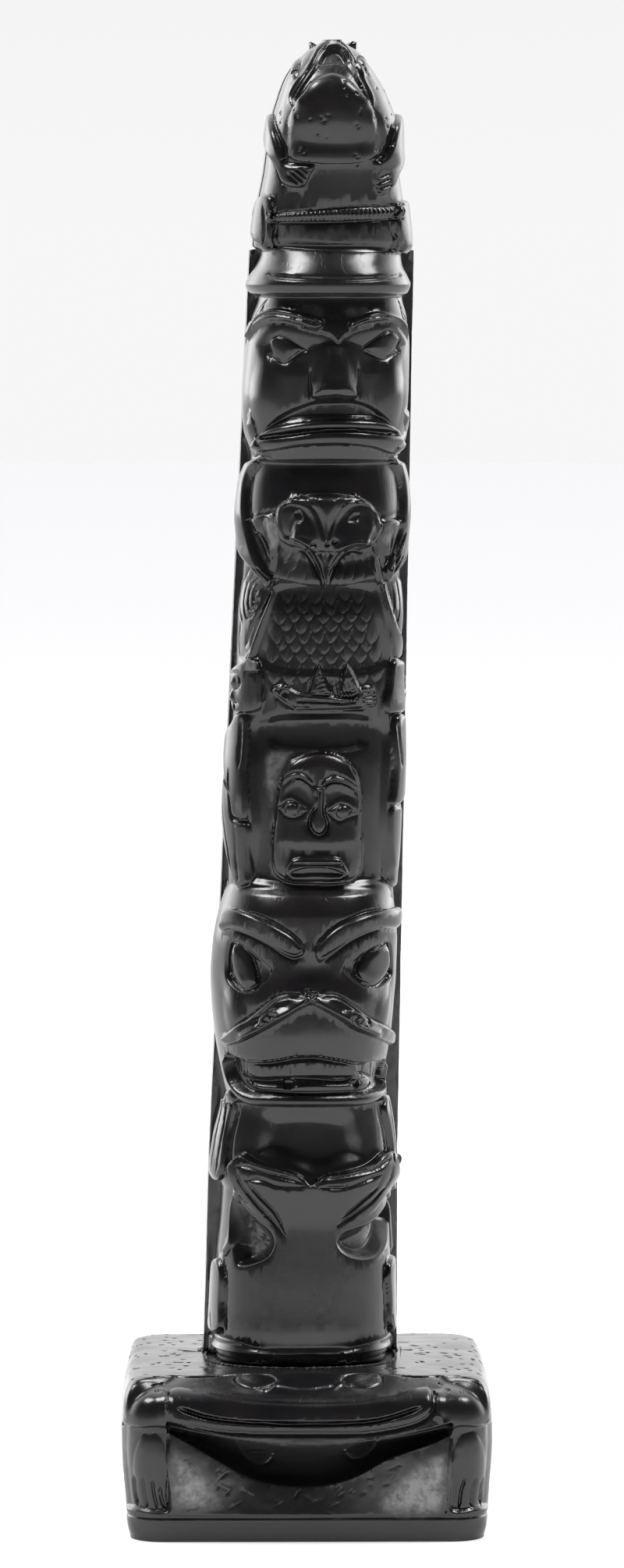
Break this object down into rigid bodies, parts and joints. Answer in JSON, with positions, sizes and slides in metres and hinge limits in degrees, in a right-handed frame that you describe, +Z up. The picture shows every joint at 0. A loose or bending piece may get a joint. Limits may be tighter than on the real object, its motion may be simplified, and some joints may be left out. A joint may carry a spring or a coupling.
{
  "type": "totem pole",
  "caption": "Carved black stone totem pole of stacked crest figures with a flat back, standing on a wide low frog-shaped plinth.",
  "frame": {"origin": "middle of the plinth's underside", "axes": "+Z up along the pole, the carved faces look along -Y, the flat back looks along +Y"},
  "size_m": [0.1006, 0.0948, 0.4],
  "materials": {
    "black_stone": "polished black argillite"
  },
  "bodies": {
    "root": {"carved_pole": "black_stone", "frog_base": "black_stone"}
  },
  "joints": []
}
